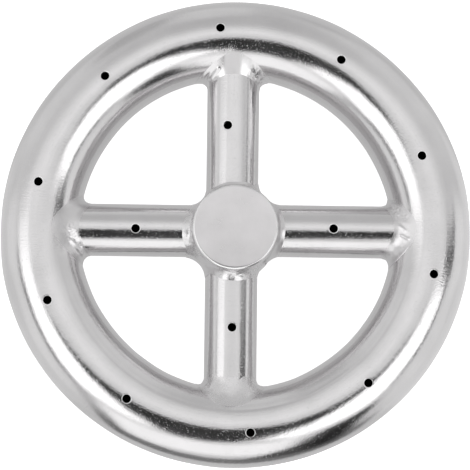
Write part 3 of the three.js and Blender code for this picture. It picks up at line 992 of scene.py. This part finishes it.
FURNITURE = [
    # The dark edge of the table in the south
    {"glow": level(110), "edges": [
        ("off", 0, 99, 107), ("off", 0, 130, 121), ("y", 0, -70, -88), ("x", 0, -76, -60), ("x", 0, 86, 66),
    ]},
    # A pale patch in the south, and a slightly darker bar under the pale zenith
    {"glow": level(236), "share": 0.97, "edges": [
        ("x", 0, -62, -38), ("x", 0, 29, 15), ("y", 0, -42, -58), ("y", 0, -101, -79),
    ]},
    {"glow": level(188), "share": 0.6, "ellipse": (6, 1, 30, 7, 1.0)},
    # The left lamp, over its thin dark margin
    {"glow": level(120), "share": 0.85, "edges": [
        ("x", 0.2, -72, -67), ("x", 0.2, -58, -62), ("y", 0, 14, -10), ("y", 0, -50, -36),
    ]},
    {"glow": LAMP, "bend": "left_lamp_side", "edges": [
        ("x", 0.2, -63, -54), ("y", 0, 26, -12), ("y", 0, -52, -36),
    ]},
    # The right lamp, over its dark margin, with a darker one above it
    {"glow": level(84), "share": 0.92, "edges": [
        ("x", -0.22, 55, 58), ("x", -0.22, 63, 60), ("y", 0, 2, -2), ("y", 0, -46, -26),
    ]},
    {"glow": LAMP, "bend": "right_lamp_side", "edges": [
        ("x", -0.22, 58, 53), ("y", 0, 0, -4), ("y", 0, -54, -40),
    ]},
    {"glow": level(36), "share": 0.96, "edges": [
        ("x", 0, 38, 45), ("x", 0, 73, 66), ("y", 0, 10, 3), ("y", 0, -4, -1),
    ]},
    # The dark patch between the lamps
    {"glow": level(46), "edges": [
        ("x", 0.17, -25.8, -19.8), ("x", -0.42, 25.5, 18.5), ("y", 0, 0, -8), ("y", -0.3, -46, -37),
    ]},
    # A dark patch low in the south east, with a peaked top, over its paler tail, and its darkest part
    {"glow": level(70), "edges": [
        ("x", -0.58, 65.72, 72.72), ("x", 0, 66, 54), ("y", 0, -68, -80), ("y", 0, -114, -98),
    ]},
    {"glow": level(62), "bend": "peaked_top", "edges": [
        ("x", 0, 24, 30), ("x", 0, 57, 51), ("y", 0, -92, -66),
    ]},
    {"glow": level(34), "share": 0.95, "ellipse": (44, -80, 11, 18, 0.9)},
    # A thin slanting dark streak in the east, and its dim twin in the south west
    {"glow": level(84), "share": 0.95, "edges": [
        ("x", -0.75, 51, 55), ("x", -0.75, 63, 59), ("y", 0, -6, -2), ("y", 0, 22, 6),
    ]},
    {"glow": level(104), "bend": "twin_strength", "edges": [
        ("x", -0.27, -48, -41), ("x", -0.27, -28, -34), ("y", 0, -38, -46), ("y", 0, -112, -96),
    ]},
]

# The edges that aren't straight. The left lamp's inner side moves over from one x to another between
# two heights. The right lamp's slants, and turns aside likewise at its foot. The peaked top falls off
# to both sides. The streak's twin isn't cut off by its last edge, but grows stronger downward.
LEFT_LAMP_SIDE = {"heights": (-3, -10), "places": (-30, -21), "fade": (5, -4)}
RIGHT_LAMP_SIDE = {"place": 25, "slope": 0.46, "heights": (-36, -46), "places": (0, 15), "fade": (-4, 3)}
PEAKED_TOP = {"place": 45, "height": -50, "slope": -0.35, "fade": (2, -3)}
TWIN_STRENGTH = {"heights": (-55, -88), "shares": (0.35, 0.97)}

# The least sine of the angle off the zenith that a direction is worked out from
LEAST_OFF_ZENITH = 1e-4


class Room(Nodes):
    """The studio's node tree, with its patches laid one over another."""

    def __init__(self, tree):
        super().__init__(tree)
        dx, dy, dz = self.parts(self.node("ShaderNodeTexCoord").outputs["Generated"])
        off = self.math("DEGREES", self.math("ARCCOSINE", dz))
        flat = self.math("MAXIMUM", self.length(dx, dy), LEAST_OFF_ZENITH)
        x, y = (self.times(off, self.math("DIVIDE", part, flat)) for part in (dx, dy))
        self.places = {"off": off, "x": x, "y": y}
        self.shade = ROOM_GLOW
        left, right, top, twin = LEFT_LAMP_SIDE, RIGHT_LAMP_SIDE, PEAKED_TOP, TWIN_STRENGTH
        left_x = self.step(y, *left["heights"], *left["places"])
        slanting_x = self.add(right["place"], self.times(y, right["slope"]))
        foot_x = self.step(y, *right["heights"], *right["places"])
        right_x = self.math("MAXIMUM", slanting_x, foot_x)
        off_peak = self.math("ABSOLUTE", self.less(x, top["place"]))
        top_y = self.add(top["height"], self.times(off_peak, top["slope"]))
        self.bends = {
            "left_lamp_side": self.step(self.less(x, left_x), *left["fade"]),
            "right_lamp_side": self.step(self.less(x, right_x), *right["fade"]),
            "peaked_top": self.step(self.less(y, top_y), *top["fade"]),
            "twin_strength": self.step(y, *twin["heights"], *twin["shares"]),
        }

    def edge(self, axis, slope, start, full):
        """0 outside a straight edge and 1 inside it."""
        across = self.places[axis]
        if slope:
            other = self.places["y" if axis == "x" else "x"]
            across = self.add(across, self.times(other, slope))
        return self.step(across, start, full)

    def lay(self, patches):
        for patch in patches:
            masks = [self.edge(*edge) for edge in patch.get("edges", [])]
            if "ellipse" in patch:
                middle_x, middle_y, half_width, half_height, softness = patch["ellipse"]
                masks.append(self.ellipse(
                    self.places["x"], self.places["y"], (middle_x, middle_y), (half_width, half_height),
                    1 + softness / 2, 1 - softness / 2,
                ))
            if "bend" in patch:
                masks.append(self.bends[patch["bend"]])
            masks.append(patch.get("share", 1))
            self.shade = self.mix(self.times(*masks), self.shade, patch["glow"])

    def lay_ground(self):
        ground = self.mix(self.edge(*GROUND["east_edge"]), GROUND["west"], GROUND["east"])
        far = self.math("MAXIMUM", *(self.edge(*edge) for edge in GROUND["far_edges"]))
        ground = self.mix(far, ground, GROUND["far"])
        self.shade = self.mix(self.edge(*GROUND["horizon"]), self.shade, ground)


def build_world():
    world = bpy.data.worlds.new("studio")
    bpy.context.scene.world = world
    world.use_nodes = True
    room = Room(world.node_tree)
    room.lay(WALLS)
    room.lay_ground()
    room.lay(FURNITURE)
    room.finish("ShaderNodeOutputWorld", room.fed("ShaderNodeBackground", Strength=room.shade))


# The steel's textures: how each is stretched along the tube and across it, its scale to the
# millimetre, its detail and its sharpness
STEEL_TEXTURES = {
    "lines_along": ((0.04, 1, 1), 2.6, 2.0, 0.5),
    "lines_across": ((1, 0.09, 0.09), 3.2, 3.0, 0.5),
    "specks": ((1, 1, 1), 2.2, 2.0, 0.6),
    "ripples": ((1, 1, 1), 0.5, 2.0, 0.5),
    "clouds": ((1, 1, 1), 0.09, 3.0, 0.5),
}

# How much of each texture goes into the steel's tone, its roughness and its height. Sparks are the
# tops of the specks, from one level to another.
TONE_SHARES = {"clouds": 0.16, "lines_along": 0.05, "lines_across": 0.04}
ROUGHNESS_SHARES = {"clouds": 0.12, "specks": 0.08}
HEIGHT_SHARES = {"specks": 0.6, "sparks": 0.35, "ground": 0.9}
SPARK_LEVELS = (0.1, 0.28)
GROUND_FADE_SHARES = (1.2, 0.6)
BUMP_DEPTH = 0.02
BUMP_SHARE = 0.5


def steel(name, colour, roughness, along=1.0, across=1.0, grain=1.0, mottle=1.0, ground=(), frost=0.03):
    """Steel with hairlines along and across the tube, fine grain, paler and darker clouds, and
    patches that were ground across, with this much more roughness: each has the place along the tube
    and off its middle, the half length and the half width, in millimetres."""
    material = bpy.data.materials.new(name)
    material.use_nodes = True
    n = Nodes(material.node_tree)
    place = n.node("ShaderNodeAttribute", attribute_name="grain").outputs["Vector"]

    def texture(stretch, scale, detail, sharpness):
        vector = n.fed("ShaderNodeMapping", Vector=place, Scale=stretch).outputs[0]
        made = n.fed("ShaderNodeTexNoise", Vector=vector, Scale=scale, Detail=detail, Roughness=sharpness)
        return n.less(made.outputs["Fac"], 0.5)

    made = {key: texture(*form) for key, form in STEEL_TEXTURES.items()}
    sparks = n.step(made["specks"], *SPARK_LEVELS)
    tone = n.add(
        n.times(made["clouds"], mottle * TONE_SHARES["clouds"]),
        n.times(made["lines_along"], along * TONE_SHARES["lines_along"]),
        n.times(made["lines_across"], across * TONE_SHARES["lines_across"]),
    )
    rough = n.add(roughness, *(n.times(made[key], share) for key, share in ROUGHNESS_SHARES.items()))
    if ground:
        at, off, _ = n.parts(place)
        patches = [n.ellipse(at, off, patch[:2], patch[2:], *GROUND_FADE_SHARES) for patch in ground]
        covered = n.math("MINIMUM", n.add(*patches), 1.0)
        rough = n.add(rough, n.times(covered, frost))
        across = n.add(n.times(covered, HEIGHT_SHARES["ground"]), across)
    height = n.add(
        n.times(made["lines_along"], along),
        n.times(made["specks"], grain * HEIGHT_SHARES["specks"]),
        n.times(sparks, grain * HEIGHT_SHARES["sparks"]),
        made["ripples"],
        n.times(made["lines_across"], across),
    )
    base = n.node("ShaderNodeVectorMath", operation="SCALE")
    n.put(base.inputs[0], colour)
    n.put(base.inputs["Scale"], n.add(1.0, tone))
    bumped = n.fed("ShaderNodeBump", Strength=BUMP_SHARE, Distance=BUMP_DEPTH * MILLIMETRE, Height=height)
    shader = n.fed(
        "ShaderNodeBsdfPrincipled",
        Base_Color=base.outputs[0], Metallic=1, Roughness=rough, Normal=bumped.outputs[0],
    )
    n.finish("ShaderNodeOutputMaterial", shader)
    return material


# Patches of the ring that were ground beside the west, east and south joints: the joint in quarter
# turns from the east, the place along the ring from it and off the tube's middle, the half length and
# the half width. The south joint is there twice, because the ring is counted round from both sides.
QUARTER_RING = RING_MIDDLE_RADIUS * QUARTER_TURN
GROUND_PATCHES = [
    (2, 0, 2, 20, 10), (2, -13, -5, 8, 3), (0, -3, 5, 18, 6), (0, 4, -6, 10, 5),
    (3, 0, -8, 14, 5), (-1, 0, -8, 14, 5),
]
ring_patches = [(QUARTER_RING * joint + along, *rest) for joint, along, *rest in GROUND_PATCHES]

# The ground patch on the north joint's bead, in the spoke's frame
CROWN_PATCHES = [(54, 1.7, 9, 2.8)]

TUBE_COLOUR = (0.7, 0.69, 0.695)
SATIN = {"along": 0.3, "across": 0.3}
ring_steel = steel("ring_steel", TUBE_COLOUR, 0.12, grain=3.5, ground=ring_patches)
tube_steel = steel("tube_steel", TUBE_COLOUR, 0.12, across=0.5, grain=3.5)
bore_steel = steel("bore_steel", (0.05, 0.048, 0.046), 0.6)
lip_steel = steel("lip_steel", (0.92, 0.92, 0.92), 0.3)
hub_steel = steel("hub_steel", (0.73, 0.715, 0.722), 0.3, along=0.3, across=0.6, mottle=2.2)
edge_steel = steel("edge_steel", (0.85, 0.85, 0.85), 0.2)
inlet_steel = steel("inlet_steel", (0.5, 0.49, 0.48), 0.35)
worn_steel = steel("worn_steel", TUBE_COLOUR, 0.31, grain=3.5, **SATIN)
pitted_steel = steel("pitted_steel", (0.72, 0.71, 0.715), 0.28, grain=5.0, **SATIN)
crown_steel = steel("crown_steel", (0.74, 0.73, 0.735), 0.26, ground=CROWN_PATCHES, frost=0.34, **SATIN)
BEAD_STEELS = {
    "hub": {"east": worn_steel, "north": worn_steel, "west": pitted_steel, "south": pitted_steel},
    "ring": {"east": worn_steel, "north": crown_steel, "west": worn_steel, "south": pitted_steel},
}


def keep(piece, node):
    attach(piece, "root")
    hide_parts(node)


# Ring
east_ports = [port for port in ring_ports() if port[0] > SEAM_SHIFT]
west_ports = [port for port in ring_ports() if port[0] <= SEAM_SHIFT]
ring_stretches = [
    ("ring_half_east", in_south(SEAM_EAST), in_north(SEAM_EAST), HALF_ROWS, east_ports, "tube_steel"),
    ("ring_half_west", in_north(SEAM_WEST), in_south(SEAM_WEST, 1), HALF_ROWS, west_ports, "tube_steel"),
    ("ring_butt_weld_north", in_north(SEAM_EAST), in_north(SEAM_WEST), SEAM_ROWS, [], "weld_metal"),
    ("ring_butt_weld_south", in_south(SEAM_WEST, 1), in_south(SEAM_EAST, 1), SEAM_ROWS, [], "weld_metal"),
]
for node, start, end, rows, ports, slot in ring_stretches:
    skin = drilled_tube(RingTube(start, end), RING_TUBE_RADIUS, RING_BORE_RADIUS, rows, RING_SIDES, ports)
    materials = [ring_steel, bore_steel, lip_steel]
    piece = skin.object(f"{node}_skin", materials, TUBE_SHARP_DEGREES, lift=RING_HEIGHT)
    keep(piece, node)

# Spokes and their welds
for spoke in SPOKES:
    name = spoke["name"]
    place = (spoke["angle"], RING_HEIGHT)
    distance, shift = spoke["port"]
    ports = [(distance, spoke["side_shift"] + shift)]
    tube = SpokeTube(spoke["side_shift"])
    skin = drilled_tube(tube, SPOKE_RADIUS, SPOKE_BORE_RADIUS, SPOKE_ROWS, SPOKE_SIDES, ports)
    materials = [tube_steel, bore_steel, lip_steel]
    piece = skin.object(f"spoke_{name}_skin", materials, TUBE_SHARP_DEGREES, *place)
    keep(piece, f"spoke_{name}")
    for end, skin in (("hub", hub_bead(spoke)), ("ring", ring_bead(spoke))):
        node = f"{end}_weld_{name}"
        piece = skin.object(f"{node}_bead", [BEAD_STEELS[end][name]], BEAD_SHARP_DEGREES, *place)
        keep(piece, node)

# Hub
hub = hub_blank().object("hub_turned", [hub_steel, inlet_steel, edge_steel], HUB_SHARP_DEGREES)
for spoke in SPOKES:
    cut_passage(hub, spoke)
keep(hub, "hub")

build_world()


def glowing_sheet(name, corners, depth, glow, colour=None):
    """A flat sheet this far below the hub's bottom. It glows, and where it has a colour it is lit."""
    material = bpy.data.materials.new(name)
    material.use_nodes = True
    n = Nodes(material.node_tree)
    surface = n.fed("ShaderNodeEmission", Strength=glow)
    if colour:
        paint = n.fed("ShaderNodeBsdfDiffuse", Color=colour)
        both = n.node("ShaderNodeAddShader")
        n.put(both.inputs[0], paint.outputs[0])
        n.put(both.inputs[1], surface.outputs[0])
        surface = both
    n.finish("ShaderNodeOutputMaterial", surface)
    mesh = bpy.data.meshes.new(name)
    points = [(x * MILLIMETRE, y * MILLIMETRE, 0) for x, y in corners]
    mesh.from_pydata(points, [], [tuple(range(len(points)))])
    mesh.materials.append(material)
    sheet = bpy.data.objects.new(name, mesh)
    sheet.location.z = -depth * MILLIMETRE
    bpy.context.scene.collection.objects.link(sheet)
    return sheet


# Floor
FLOOR_HALF = 3000
FLOOR_DEPTH = 0.2
FLOOR_GLOW = 0.75
FLOOR_COLOUR = (0.9, 0.9, 0.9, 1)
floor_corners = [(x * FLOOR_HALF, y * FLOOR_HALF) for x, y in ((-1, -1), (1, -1), (1, 1), (-1, 1))]
floor = glowing_sheet("floor", floor_corners, FLOOR_DEPTH, FLOOR_GLOW, FLOOR_COLOUR)
floor.visible_glossy = False
floor.visible_diffuse = False

# Painted shade: a glowing disc that stands in for the burner's shadow on the floor between the tubes,
# darker than the open floor. Only reflections see it.
SHADE_RADIUS = 64
SHADE_DEPTH = 0.1
SHADE_SIDES = 64
SHADE_GLOW = level(156)
shade_turns = np.arange(SHADE_SIDES) * FULL_TURN / SHADE_SIDES
shade_corners = [(SHADE_RADIUS * math.cos(turn), SHADE_RADIUS * math.sin(turn)) for turn in shade_turns]
painted_floor_shadow = glowing_sheet("painted_floor_shadow", shade_corners, SHADE_DEPTH, SHADE_GLOW)
painted_floor_shadow.visible_camera = False
painted_floor_shadow.visible_diffuse = False
painted_floor_shadow.visible_shadow = False

# Camera, which is tilted about the middle of the ring. Its shifts are shares of the picture's width.
CAMERA_DISTANCE = 692
CAMERA_TILT_EAST_DEGREES = -1.06
CAMERA_TILT_SOUTH_DEGREES = 7.33
CAMERA_ROLL_DEGREES = 0.65
CAMERA_SENSOR_WIDTH = 36
CAMERA_LENS = 163.13
CAMERA_SHIFT_SHARES = (-0.00157, -0.00555)
CAMERA_CLIP_END = 20000


def place_camera():
    camera = bpy.data.objects.new("camera", bpy.data.cameras.new("camera"))
    bpy.context.scene.collection.objects.link(camera)
    east = math.radians(CAMERA_TILT_EAST_DEGREES)
    south = math.radians(CAMERA_TILT_SOUTH_DEGREES)
    back = Vector((math.sin(east) * math.cos(south), -math.sin(south), math.cos(east) * math.cos(south)))
    right = Vector((0, 1, 0)).cross(back).normalized()
    turn = Matrix((right, back.cross(right), back)).transposed()
    roll = Matrix.Rotation(math.radians(CAMERA_ROLL_DEGREES), 3, "Z")
    place = (Vector((0, 0, RING_HEIGHT)) + back * CAMERA_DISTANCE) * MILLIMETRE
    camera.matrix_world = Matrix.Translation(place) @ (turn @ roll).to_4x4()
    camera.data.sensor_width = CAMERA_SENSOR_WIDTH
    camera.data.lens = CAMERA_LENS
    camera.data.shift_x, camera.data.shift_y = CAMERA_SHIFT_SHARES
    camera.data.clip_end = CAMERA_CLIP_END * MILLIMETRE
    bpy.context.scene.camera = camera


place_camera()
bpy.context.scene.view_settings.view_transform = "Standard"
bpy.context.scene.view_settings.look = "None"
